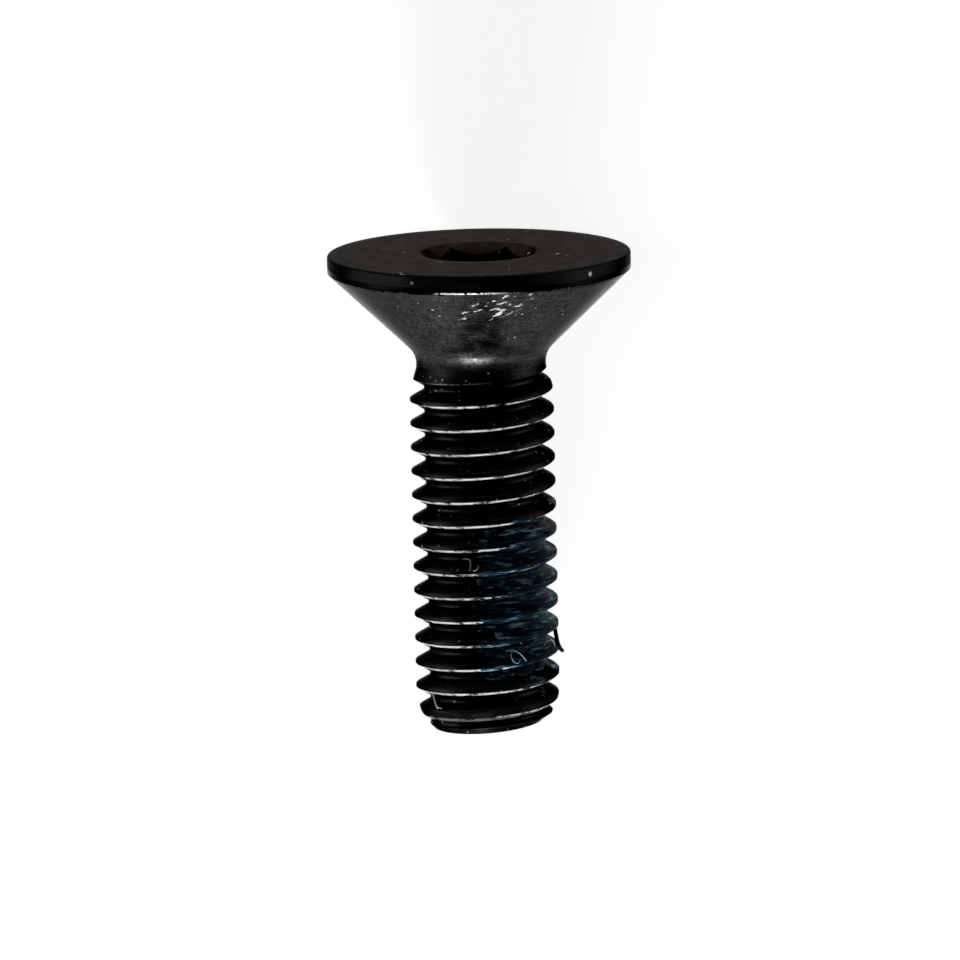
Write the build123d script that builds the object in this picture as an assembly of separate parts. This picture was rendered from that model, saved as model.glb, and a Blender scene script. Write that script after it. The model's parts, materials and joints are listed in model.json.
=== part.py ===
from build123d import *
from math import atan2, ceil, cos, degrees, radians, sin, sqrt, tan
import os

# Countersunk machine screw, M6 x 1 x 20, with a hexagon socket and a nylon locking patch.
# It is built about its own axis: the flat of the head lies at z = 0 and the tip is below it.
# Then it is laid down on the rim of the head and the last full crest of the thread.

# Driving dimensions, mm and degrees
nominal_diameter = 6.0
pitch = 1.0
length_over_all = 19.85
head_diameter = 12.5
cone_angle = 90.0
hexagon_across_flats = 4.02
patch_arc = 100.0

# Thread, from the basic triangle of the metric profile
thread_angle = 60.0
triangle_height = pitch / 2 / tan(radians(thread_angle / 2))
crest_truncation = 0.025
crest_radius = nominal_diameter / 2 - crest_truncation
pitch_radius = nominal_diameter / 2 - triangle_height * 3 / 8
root_radius = nominal_diameter / 2 - triangle_height * 19 / 24
crest_half_width = pitch / 2 - (crest_radius - root_radius) * tan(radians(thread_angle / 2))
cutter_clearance = 0.08

# Head
head_radius = head_diameter / 2
rim_height = 0.70
rim_bevel = 0.10
neck_radius = pitch_radius
under_head_round = 1.0
neck_top = rim_height + (head_radius - neck_radius) / tan(radians(cone_angle / 2))
under_head_run = under_head_round * tan(radians(cone_angle / 4))

# Socket
socket_depth = 2.45
socket_point_angle = 120.0
hexagon_corner_radius = hexagon_across_flats / sqrt(3)
mouth_radius = hexagon_corner_radius + 0.11
mouth_angle = 90.0

# Where the thread starts and how it fades into the neck
thread_turn = 26.3
swell_top = neck_top + under_head_run + 0.04
swell_bottom = swell_top + 1.0
fade_turns = 0.55
fade_rise = 0.42
full_groove_top = neck_top + 0.84
overrun = 0.9

# Rolled point at the tip, sheared a little off square
point_length = 1.44
point_middle_radius = crest_radius - 0.175
end_radius = crest_radius - 0.615
end_slope = 2.4
end_slope_turn = -142.0

# Locking patch: nylon that fills the roots of seven turns on one side
patch_turns = 7
patch_turn = -35.0
patch_middle = 14.15
film_radius = root_radius + 0.38
film_clearance = 0.01


def half_profile():
    """Outline of the blank on one side of its axis: head, neck, swell and point."""
    point_top = -(length_over_all - point_length)
    with BuildSketch(Plane.XZ) as sketch:
        with BuildLine():
            Polyline(
                (0, 0),
                (head_radius, 0),
                (head_radius, -rim_height),
                (neck_radius, -neck_top),
                (neck_radius, -swell_top),
                (crest_radius, -swell_bottom),
                (crest_radius, point_top),
                (point_middle_radius, point_top - point_length / 2),
                (end_radius, -length_over_all),
                (0, -length_over_all),
                (0, 0),
            )
        make_face()
        chamfer(corner(sketch, head_radius, 0), length=rim_bevel)
        fillet(corner(sketch, neck_radius, -neck_top), radius=under_head_round)
    return sketch.sketch


def corner(sketch, radius_at, height_at):
    """The corner of the open sketch that lies at one radius and height."""
    return sketch.vertices().sort_by_distance((radius_at, height_at))[0]


def socket():
    """Hexagon with a pointed floor, and a round bevel at its mouth."""
    floor_rise = hexagon_corner_radius / tan(radians(socket_point_angle / 2))
    bevel_depth = mouth_radius / tan(radians(mouth_angle / 2))
    prism = extrude(
        RegularPolygon(radius=hexagon_corner_radius, side_count=6),
        amount=-(socket_depth + floor_rise),
    )
    with BuildPart() as drill:
        with BuildSketch(Plane.XZ):
            with BuildLine():
                Polyline(
                    (0, 0),
                    (mouth_radius, 0),
                    (mouth_radius, -socket_depth),
                    (hexagon_corner_radius, -socket_depth),
                    (0, -socket_depth - floor_rise),
                    (0, 0),
                )
            make_face()
        revolve(axis=Axis.Z)
    bevel = Pos(0, 0, -bevel_depth / 2) * Cone(0.001, mouth_radius, bevel_depth)
    return (prism & drill.part) + bevel


def groove_section(point_radius, outer_radius):
    """V that points at the axis, at height 0, with the thread angle between its sides."""
    half_width = (outer_radius - point_radius) * tan(radians(thread_angle / 2))
    with BuildSketch(Plane.XZ) as sketch:
        with BuildLine():
            Polyline(
                (point_radius, 0),
                (outer_radius, half_width),
                (outer_radius, -half_width),
                close=True,
            )
        make_face()
    return sketch.sketch.face()


def along_thread(section, depth, path):
    """Section swept along one stretch of helix that starts at one depth under the flat."""
    start_turn = thread_turn - 360 * depth / pitch
    swept = sweep(sections=section, path=path, is_frenet=True)
    return Pos(0, 0, -depth) * Rot(0, 0, start_turn % 360) * swept


def cut_groove(body, section, stops):
    """Cut a right-hand helical groove, stretch by stretch from the bottom up."""
    for bottom, top in zip(stops, stops[1:]):
        path = Helix(pitch=pitch, height=bottom - top, radius=section.center().X)
        body -= along_thread(section, bottom, path)
    return body


def even_stops(bottom, top, longest):
    """Depths from the bottom up to the top, evenly spaced and no further apart than given."""
    count = ceil((bottom - top) / longest)
    return [bottom - (bottom - top) * step / count for step in range(count + 1)]


def fade_groove(body, section, bottom):
    """Let the groove climb out of the neck over the last part of a turn."""
    rise = fade_turns * pitch
    slope = degrees(atan2(fade_rise, rise))
    path = Helix(
        pitch=pitch / cos(radians(slope)),
        height=rise,
        radius=section.center().X,
        cone_angle=slope,
    )
    return body - along_thread(section, bottom, path)


def screw_body():
    """The whole screw as one solid."""
    section = groove_section(root_radius, crest_radius + cutter_clearance)
    plain_bottom = length_over_all - point_length - pitch / 2
    plain_top = swell_bottom + pitch / 2
    stops = even_stops(length_over_all + overrun, plain_bottom, pitch)
    stops += even_stops(plain_bottom, plain_top, 4 * pitch)[1:]
    stops += even_stops(plain_top, full_groove_top, pitch)[1:]
    blank = slope_end(revolve(half_profile(), axis=Axis.Z))
    threaded = cut_groove(blank, section, stops)
    faded = fade_groove(threaded, section, full_groove_top)
    return (faded - socket()).solid()


def slope_end(blank):
    """Shear the end along a plane that leaves it longest on one side."""
    turn = radians(end_slope_turn)
    slope = radians(end_slope)
    longest = (end_radius * cos(turn), end_radius * sin(turn), -length_over_all)
    facing = (sin(slope) * cos(turn), sin(slope) * sin(turn), cos(slope))
    half_space = Plane(origin=longest, z_dir=facing)
    return split(blank, bisect_by=half_space, keep=Keep.TOP)


def locking_patch():
    """Nylon in the roots of neighbouring turns, one arc for each."""
    section = groove_section(root_radius + film_clearance, film_radius)
    rise = pitch * patch_arc / 360
    first = pitch * (thread_turn - patch_turn + patch_arc / 2) / 360
    skipped = round((patch_middle - pitch * patch_turns / 2 - first) / pitch)
    arcs = []
    for turn in range(patch_turns):
        depth = first + pitch * (skipped + turn + 1)
        path = Helix(pitch=pitch, height=rise, radius=section.center().X)
        arcs.append(along_thread(section, depth, path))
    return Compound(children=arcs)


def resting_place():
    """Where the axis comes to rest when the screw lies on its rim and its last full crest."""
    down_turn = 90.0
    run = last_crest_depth(down_turn) - rim_height
    rise = head_radius - crest_radius
    tilt = atan2(rise, run)
    return Plane(
        origin=(0, 0, head_radius * cos(tilt) + rim_height * sin(tilt)),
        x_dir=(0, -1, 0),
        z_dir=(cos(tilt), 0, sin(tilt)),
    )


def last_crest_depth(turn):
    """Depth where the crests stop being at full height, at one turn about the axis."""
    point_top = length_over_all - point_length
    first = pitch / 2 - pitch * (turn - thread_turn) / 360
    count = int((point_top + crest_half_width - first) / pitch)
    return min(point_top, first + count * pitch + crest_half_width)


def main():
    """Build both pieces, lay them down and write them out."""
    screw = screw_body()
    patch = locking_patch()
    place = resting_place().location
    box = screw.moved(place).bounding_box()
    centring = Location((-box.center().X, 0, -box.min.Z))
    os.makedirs("parts", exist_ok=True)
    for name, piece in (("screw", screw), ("locking_patch", patch)):
        placed = piece.moved(place).moved(centring)
        export_step(placed, f"parts/{name}.step")


main()
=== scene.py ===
import json
import logging
import math
from dataclasses import dataclass
from enum import Enum
from typing import Any, Callable, Optional, Sequence, Union

import bmesh
import bpy
from mathutils import Matrix, Vector


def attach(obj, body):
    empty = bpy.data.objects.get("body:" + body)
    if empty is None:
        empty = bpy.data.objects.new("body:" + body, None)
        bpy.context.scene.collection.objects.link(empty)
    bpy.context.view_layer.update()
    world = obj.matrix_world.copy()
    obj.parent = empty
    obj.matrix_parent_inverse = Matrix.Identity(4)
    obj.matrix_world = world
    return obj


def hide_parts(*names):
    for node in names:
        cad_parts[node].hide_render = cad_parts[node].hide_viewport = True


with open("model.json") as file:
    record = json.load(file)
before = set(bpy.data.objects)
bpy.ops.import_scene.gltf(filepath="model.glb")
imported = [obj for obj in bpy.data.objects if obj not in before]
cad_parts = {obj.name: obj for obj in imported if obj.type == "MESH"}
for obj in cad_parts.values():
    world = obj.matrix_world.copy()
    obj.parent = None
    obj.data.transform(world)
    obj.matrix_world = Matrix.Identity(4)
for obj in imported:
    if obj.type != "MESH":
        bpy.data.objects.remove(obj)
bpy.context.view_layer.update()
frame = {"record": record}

LOG = logging.getLogger("socket_screw")
MM = 0.001
TAU = 2.0 * math.pi
WHITE = (1.0, 1.0, 1.0, 1.0)
NYLON_INDEX = 1.53

Point = tuple[float, float, float]
Span = tuple[float, float]
RingAt = Callable[[float], tuple[float, float]]


class Region(Enum):
    """Parts of the screw's skin that are finished in different ways."""

    FACE = 0
    RIM = 1
    CONE = 2
    THREAD = 3


class MarkDirection(Enum):
    """Which way tool marks are spaced on a turned or upset surface."""

    NONE = 0
    ALONG_AXIS = 1
    ACROSS_FACE = 2


def linear(hex_colour: str) -> tuple[float, float, float, float]:
    """Turn an sRGB hex colour into the linear values that a shader takes.

    Args:
        hex_colour: Six hexadecimal digits.

    Returns:
        Linear red, green and blue, and an alpha of one.
    """
    shares = [int(hex_colour[i : i + 2], 16) / 255 for i in (0, 2, 4)]
    made = [s / 12.92 if s <= 0.04045 else ((s + 0.055) / 1.055) ** 2.4 for s in shares]
    return made[0], made[1], made[2], 1.0


class Rule(dict):
    """A node tree with its sockets, nodes and numbers by name, worked out step by step."""

    MIX_INPUTS = (0, 6, 7)
    MIX_COLOUR = 2
    VECTORS = {"MAP": "ShaderNodeMapRange", "JOIN": "ShaderNodeCombineXYZ"}

    def __init__(self, tree: bpy.types.NodeTree, known: Union[dict, Sequence] = ()) -> None:
        """Start from a tree and what it is given, by name."""
        super().__init__(known)
        self.tree = tree

    def add(
        self, kind: str, inputs: Union[dict, Sequence, None] = None, **settings: Any
    ) -> bpy.types.Node:
        """Add one node, give it its settings and fill its inputs.

        Args:
            kind: The node's type name.
            inputs: Values by input name, or in order, where a word is the name of a value.
                A socket is linked, and a node stands for its first output.
            settings: The node's own properties.

        Returns:
            The new node.
        """
        node = self.tree.nodes.new(kind)
        for name, value in settings.items():
            setattr(node, name, value)
        if not isinstance(inputs, dict):
            inputs = dict(enumerate(self.read(inputs or ())))
        for key, value in inputs.items():
            if isinstance(value, bpy.types.Node):
                value = value.outputs[0]
            if isinstance(value, bpy.types.NodeSocket):
                self.tree.links.new(value, node.inputs[key])
            else:
                node.inputs[key].default_value = value
        return node

    def read(self, values: Sequence) -> list:
        """Look up the values that are given by name."""
        return [self[v] if isinstance(v, str) else v for v in values]

    def work_out(self, *steps: tuple) -> Any:
        """Add one node for each step of a rule.

        Args:
            steps: Each is a name, an operation and its values, which are names or numbers.
                MAP maps a range to another, JOIN joins three numbers to a vector, MIX lays a
                share of a second colour over a first, and the rest are Math operations.

        Returns:
            The last step's result.
        """
        for name, operation, *values in steps:
            if operation == "MIX":
                inputs = dict(zip(self.MIX_INPUTS, self.read(values)))
                mix = self.add("ShaderNodeMix", inputs, data_type="RGBA")
                self[name] = mix.outputs[self.MIX_COLOUR]
            elif operation in self.VECTORS:
                self[name] = self.add(self.VECTORS[operation], values)
            else:
                self[name] = self.add("ShaderNodeMath", values, operation=operation)
        return self[name]


@dataclass(frozen=True)
class ScrewSizes:
    """Sizes of an M6 x 1 x 20 countersunk socket screw, in millimetres and radians."""

    pitch: float = 1.0
    length: float = 19.85
    head_radius: float = 6.25
    rim_height: float = 0.70
    rim_bevel: float = 0.10
    cone_half_angle: float = math.radians(46)
    neck_radius: float = 2.675
    under_head_round: float = 1.0
    across_flats: float = 4.02
    socket_depth: float = 2.45
    mouth_margin: float = 0.11
    crest_radius: float = 2.975
    root_radius: float = 2.387
    root_flat: float = 0.167
    thread_turn: float = math.radians(26.3)
    swell_length: float = 1.0
    swell_margin: float = 0.16
    groove_margin: float = 0.96
    fade_turns: float = 0.55
    fade_rise: float = 0.42
    point_length: float = 1.44
    point_middle_radius: float = 2.80
    end_radius: float = 2.36
    end_bevel: float = 0.10

    @property
    def neck_top(self) -> float:
        """Depth at which the cone would meet the neck in a sharp corner."""
        run = self.head_radius - self.neck_radius
        return self.rim_height + run / math.tan(self.cone_half_angle)

    @property
    def shank_top(self) -> float:
        """Depth at which the under-head round has run out."""
        return self.neck_top + self.under_head_round * math.tan(self.cone_half_angle / 2)

    @property
    def hexagon_corner(self) -> float:
        """Distance of the socket's corners from the axis."""
        return self.across_flats / math.sqrt(3)


class Placement:
    """Where the screw lies: its own axes, read from the flat of the head in the record."""

    def __init__(self, record: dict) -> None:
        """Read the socket's place and direction.

        Args:
            record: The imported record.
        """
        mount = next(m for m in record["mounts"] if m["name"] == "drive_socket")
        along = Vector(mount["axis"]).normalized()
        across = Vector((0.0, -1.0, 0.0))
        self.origin = Vector(mount["pos_m"])
        self.rotation = Matrix((across, along.cross(across), along)).transposed().to_4x4()
        self.matrix = Matrix.Translation(self.origin) @ self.rotation @ Matrix.Scale(MM, 4)

    def local(self, tree: bpy.types.NodeTree) -> Rule:
        """Turn a material's Object coordinates into the screw's own axes, in millimetres.

        Args:
            tree: The material's tree.

        Returns:
            The point, its x, y, z and depth, and its distance from the axis, by name.
        """
        rule = Rule(tree)
        values = {
            "Vector": rule.add("ShaderNodeTexCoord").outputs["Object"],
            "Location": self.origin,
            "Rotation": self.rotation.to_euler("XYZ"),
            "Scale": (MM, MM, MM),
        }
        rule["point"] = rule.add("ShaderNodeMapping", values, vector_type="TEXTURE")
        split = rule.add("ShaderNodeSeparateXYZ", ("point",))
        rule.update(zip("xyz", split.outputs))
        rule.work_out(
            ("depth", "MULTIPLY", "z", -1.0),
            ("xx", "MULTIPLY", "x", "x"),
            ("yy", "MULTIPLY", "y", "y"),
            ("rr", "ADD", "xx", "yy"),
            ("radius", "SQRT", "rr"),
        )
        return rule


class Recipe:
    """A geometry tree with named inputs, run once for its mesh."""

    def __init__(self, name: str, inputs: dict[str, Any], outputs: Sequence[str] = ()) -> None:
        """Make the empty tree.

        Args:
            name: The tree's name.
            inputs: The values that go in, by name: whole numbers, lengths or places.
            outputs: Names of the numbers that come out. None stands for geometry.
        """
        self.tree = bpy.data.node_groups.new(name, "GeometryNodeTree")
        self.values = inputs
        kinds = {int: "NodeSocketInt", float: "NodeSocketFloat", tuple: "NodeSocketVector"}
        made = [(name, "INPUT", kinds[type(value)]) for name, value in inputs.items()]
        made += [(name, "OUTPUT", "NodeSocketFloat") for name in outputs]
        if not outputs:
            made.append(("Geometry", "OUTPUT", "NodeSocketGeometry"))
        for label, side, kind in made:
            self.tree.interface.new_socket(label, in_out=side, socket_type=kind)
        given = self.tree.nodes.new("NodeGroupInput")
        self.out = self.tree.nodes.new("NodeGroupOutput")
        self.rule = Rule(self.tree, {s.name: s for s in given.outputs if s.name})

    def close(self, shape: bpy.types.Node, weld: float) -> bpy.types.Mesh:
        """Weld the seams, end with real geometry and an empty material slot, and run the tree.

        Args:
            shape: The node that carries the shape.
            weld: Distance within which points are one, in millimetres.

        Returns:
            The mesh, with no modifier behind it.
        """
        values = {"Geometry": shape, "Distance": weld}
        joined = self.rule.add("GeometryNodeMergeByDistance", values)
        real = self.rule.add("GeometryNodeRealizeInstances", (joined,))
        dressed = self.rule.add("GeometryNodeSetMaterial", (real,))
        self.tree.links.new(dressed.outputs[0], self.out.inputs[0])
        carrier = bpy.data.objects.new(self.tree.name, bpy.data.meshes.new(self.tree.name))
        bpy.context.scene.collection.objects.link(carrier)
        modifier = carrier.modifiers.new(self.tree.name, "NODES")
        modifier.node_group = self.tree
        for item in self.tree.interface.items_tree:
            if item.in_out == "INPUT":
                modifier[item.identifier] = self.values[item.name]
        graph = bpy.context.evaluated_depsgraph_get()
        mesh = bpy.data.meshes.new_from_object(carrier.evaluated_get(graph))
        bpy.data.objects.remove(carrier)
        return mesh


@dataclass(frozen=True)
class ThreadRule:
    """The rule that gives the shank's radius at any angle and depth."""

    sizes: ScrewSizes
    crest_rounding: float = 0.035
    root_rounding: float = 0.06
    flank_slope: float = math.tan(math.radians(60))

    def inputs(self) -> dict[str, float]:
        """List the sizes that the rule takes.

        Returns:
            Each size by name, in millimetres and radians.
        """
        s = self.sizes
        return {
            "Pitch": s.pitch,
            "Crest Radius": s.crest_radius,
            "Root Radius": s.root_radius,
            "Root Flat": s.root_flat,
            "Thread Turn": s.thread_turn,
            "Neck Radius": s.neck_radius,
            "Swell Top": s.shank_top + s.swell_margin,
            "Swell Length": s.swell_length,
            "Groove Top": s.neck_top + s.groove_margin,
            "Fade Turns": s.fade_turns,
            "Fade Rise": s.fade_rise,
            "Length": s.length,
            "Point Length": s.point_length,
            "Point Middle Radius": s.point_middle_radius,
            "End Radius": s.end_radius,
            "End Bevel": s.end_bevel,
            "Crest Rounding": self.crest_rounding,
            "Root Rounding": self.root_rounding,
        }

    def group(self) -> bpy.types.NodeTree:
        """Build the rule as a node group.

        Returns:
            A group that takes Angle, Depth and the sizes, and gives Radius, Height (0 in
            the root to 1 on the crest) and Tipward (1 on the flank that faces the tip).
        """
        inputs = {"Angle": 0.0, "Depth": 0.0, **self.inputs()}
        recipe = Recipe("Thread Rule", inputs, ("Radius", "Height", "Tipward"))
        rule = recipe.rule
        rule.work_out(
            ("turned", "SUBTRACT", "Angle", "Thread Turn"),
            ("turns", "DIVIDE", "turned", TAU),
            ("steps", "DIVIDE", "Depth", "Pitch"),
            ("count", "ADD", "steps", "turns"),
            ("count half on", "ADD", "count", 0.5),
            ("share", "FRACT", "count half on"),
            ("phase", "SUBTRACT", "share", 0.5),
            ("offset", "MULTIPLY", "phase", "Pitch"),
            ("apart", "ABSOLUTE", "offset"),
            ("half flat", "MULTIPLY", "Root Flat", 0.5),
            ("beyond", "SUBTRACT", "apart", "half flat"),
            ("climb", "MULTIPLY", "beyond", self.flank_slope),
            ("flank", "ADD", "climb", "Root Radius"),
            ("rounded", "SMOOTH_MAX", "flank", "Root Radius", "Root Rounding"),
            ("root depth", "SUBTRACT", "Depth", "offset"),
            ("above", "SUBTRACT", "Groove Top", "root depth"),
            ("fade run", "MULTIPLY", "Fade Turns", "Pitch"),
            ("faded", "DIVIDE", "above", "fade run"),
            ("fading", "MAXIMUM", "faded", 0.0),
            ("lift", "MULTIPLY", "fading", "Fade Rise"),
            ("groove", "ADD", "rounded", "lift"),
            ("swell bottom", "ADD", "Swell Top", "Swell Length"),
            ("point top", "SUBTRACT", "Length", "Point Length"),
            ("half point", "MULTIPLY", "Point Length", 0.5),
            ("point middle", "ADD", "point top", "half point"),
            ("left", "SUBTRACT", "Length", "Depth"),
            ("end radius", "ADD", "End Radius", "left"),
            ("bevel", "SUBTRACT", "end radius", "End Bevel"),
            ("swell", "MAP", "Depth", "Swell Top", "swell bottom", "Neck Radius", "Crest Radius"),
            ("upper", "MAP", "Depth", "point top", "point middle", "Crest Radius",
             "Point Middle Radius"),
        )
        lower = ("Depth", "point middle", "Length", "Point Middle Radius", "End Radius")
        rule["lower"] = rule.add("ShaderNodeMapRange", lower, clamp=False)
        rule.work_out(
            ("plain", "MINIMUM", "swell", "upper"),
            ("blank", "MINIMUM", "plain", "lower"),
            ("bevelled", "MINIMUM", "blank", "bevel"),
            ("Radius", "SMOOTH_MIN", "groove", "bevelled", "Crest Rounding"),
            ("risen", "SUBTRACT", "Radius", "Root Radius"),
            ("full", "SUBTRACT", "Crest Radius", "Root Radius"),
            ("Height", "DIVIDE", "risen", "full"),
            ("room", "SUBTRACT", "bevelled", "groove"),
            ("in groove", "GREATER_THAN", "room", 0.0),
            ("below root", "LESS_THAN", "offset", 0.0),
            ("Tipward", "MULTIPLY", "below root", "in groove"),
        )
        for socket in recipe.out.inputs[:3]:
            rule.tree.links.new(rule[socket.name].outputs[0], socket)
        return rule.tree


@dataclass(frozen=True)
class Winding:
    """A grid wound round the axis along the thread, one pitch for each turn."""

    sizes: ScrewSizes
    rule: ThreadRule
    steps_around: int = 144
    steps_across: int = 20

    def inputs(self, top: float, bottom: float) -> dict[str, Any]:
        """The winding's inputs by name.

        Args:
            top: Depth at which it starts.
            bottom: Depth at which it ends.

        Returns:
            The inputs, with the thread rule's own after them.
        """
        return {
            "Turns": math.ceil((bottom - top) / self.sizes.pitch) + 1,
            "Steps Around": self.steps_around,
            "Steps Across": self.steps_across,
            "Top": top,
            "Bottom": bottom,
            **self.rule.inputs(),
        }

    def wind(self, rule: Rule, group: bpy.types.NodeTree) -> bpy.types.Node:
        """Add the grid and the thread rule to a tree.

        Args:
            rule: The tree's rule. The angle, depth, radius, height and flank of each point
                are added to it.
            group: The thread rule's node group.

        Returns:
            The node that carries the grid, not yet moved.
        """
        rule.work_out(
            ("cells", "MULTIPLY", "Turns", "Steps Around"),
            ("along", "ADD", "cells", 1.0),
            ("over", "ADD", "Steps Across", 1.0),
            ("half", "MULTIPLY", "Turns", 0.5),
        )
        kept = rule.add("GeometryNodeMeshGrid", ("Turns", 1.0, "along", "over"))
        flat = rule.add("ShaderNodeSeparateXYZ", (rule.add("GeometryNodeInputPosition"),))
        rule.update(flat_x=flat.outputs["X"], flat_y=flat.outputs["Y"])
        rule.work_out(
            ("wound", "ADD", "flat_x", "half"),
            ("across", "ADD", "flat_y", 0.5),
            ("raw angle", "MULTIPLY", "wound", -TAU),
            ("run", "ADD", "wound", "across"),
            ("steps down", "SUBTRACT", "run", 1.0),
            ("fall", "MULTIPLY", "steps down", "Pitch"),
            ("raw depth", "ADD", "fall", "Top"),
            ("not above", "MAXIMUM", "raw depth", "Top"),
            ("held depth", "MINIMUM", "not above", "Bottom"),
        )
        for name, source in (("angle", "raw angle"), ("depth", "held depth")):
            values = {"Geometry": kept, "Name": name, "Value": rule[source]}
            kept = rule.add("GeometryNodeStoreNamedAttribute", values)
            rule[name] = rule.add("GeometryNodeInputNamedAttribute", {"Name": name})
        inputs = {"Angle": rule["angle"], "Depth": rule["depth"]}
        inputs.update({name: rule[name] for name in self.rule.inputs()})
        shaped = rule.add("GeometryNodeGroup", node_tree=group)
        for name, source in inputs.items():
            source = source.outputs[0] if isinstance(source, bpy.types.Node) else source
            rule.tree.links.new(source, shaped.inputs[name])
        rule.update(zip(("radius", "height", "tipward"), shaped.outputs))
        rule.work_out(("cos", "COSINE", "angle"), ("sin", "SINE", "angle"))
        return kept

    @staticmethod
    def point_at(rule: Rule, radius: str, depth: str) -> bpy.types.Node:
        """Turn a radius and a depth into a place at each point's own angle.

        Args:
            rule: The tree's rule.
            radius: Name of the radius.
            depth: Name of the depth.

        Returns:
            The node that gives the place.
        """
        return rule.work_out(
            ("x", "MULTIPLY", radius, "cos"),
            ("y", "MULTIPLY", radius, "sin"),
            ("z", "MULTIPLY", depth, -1.0),
            ("place", "JOIN", "x", "y", "z"),
        )


@dataclass(frozen=True)
class ThreadedShank:
    """The shank from the neck to the end, with nicked crests and an end sheared off square."""

    sizes: ScrewSizes
    winding: Winding
    nick_depth: float = 0.03
    struck: Span = (0.60, 0.72)
    high: Span = (0.75, 1.0)
    end_slope: float = 0.066
    end_slope_turn: float = math.radians(-160)
    end_slope_reach: float = 0.7
    weld: float = 0.0015

    def mesh(self, group: bpy.types.NodeTree) -> bpy.types.Mesh:
        """Build the shank's tube.

        Args:
            group: The thread rule's node group.

        Returns:
            The open tube, in the screw's own axes and in millimetres.
        """
        inputs = {
            **self.winding.inputs(self.sizes.shank_top, self.sizes.length),
            "Nick Depth": self.nick_depth,
            "End Slope": self.end_slope,
            "End Slope Turn": self.end_slope_turn,
            "End Slope Reach": self.end_slope_reach,
        }
        recipe = Recipe("Threaded Shank", inputs)
        rule = recipe.rule
        grid = self.winding.wind(rule, group)
        self._nick(rule)
        self._slope(rule)
        place = self.winding.point_at(rule, "nicked", "sloped")
        made = rule.add("GeometryNodeSetPosition", {"Geometry": grid, "Position": place})
        for name in ("height", "tipward"):
            values = {"Geometry": made, "Name": name, "Value": rule[name]}
            made = rule.add("GeometryNodeStoreNamedAttribute", values)
        return recipe.close(made, self.weld)

    def _nick(self, rule: Rule) -> None:
        """Knock small nicks into the crests, as handling in bulk does.

        Args:
            rule: The shank's rule.
        """
        around = rule.work_out(
            ("squeezed", "MULTIPLY", "depth", 0.45), ("around", "JOIN", "cos", "sin", "squeezed")
        )
        values = {"Vector": around, "W": 3.7, "Scale": 7.0, "Detail": 2.0, "Roughness": 0.6}
        rule["noise"] = rule.add("ShaderNodeTexNoise", values, noise_dimensions="4D")
        rule.work_out(
            ("struck", "MAP", "noise", *self.struck),
            ("high", "MAP", "height", *self.high),
            ("nick", "MULTIPLY", "struck", "high"),
            ("cut", "MULTIPLY", "nick", "Nick Depth"),
            ("nicked", "SUBTRACT", "radius", "cut"),
        )

    @staticmethod
    def _slope(rule: Rule) -> None:
        """Shorten the end on one side, as a blank sheared a little off square leaves it.

        Args:
            rule: The shank's rule.
        """
        rule.work_out(("slope start", "SUBTRACT", "Bottom", "End Slope Reach"))
        span = ("depth", "slope start", "Bottom")
        rule["near end"] = rule.add("ShaderNodeMapRange", span, interpolation_type="SMOOTHSTEP")
        rule.work_out(
            ("from long side", "SUBTRACT", "angle", "End Slope Turn"),
            ("lean", "COSINE", "from long side"),
            ("short side", "SUBTRACT", 1.0, "lean"),
            ("short", "MULTIPLY", "short side", "radius"),
            ("shorter", "MULTIPLY", "short", "End Slope"),
            ("short here", "MULTIPLY", "shorter", "near end"),
            ("sloped", "SUBTRACT", "depth", "short here"),
        )


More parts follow.
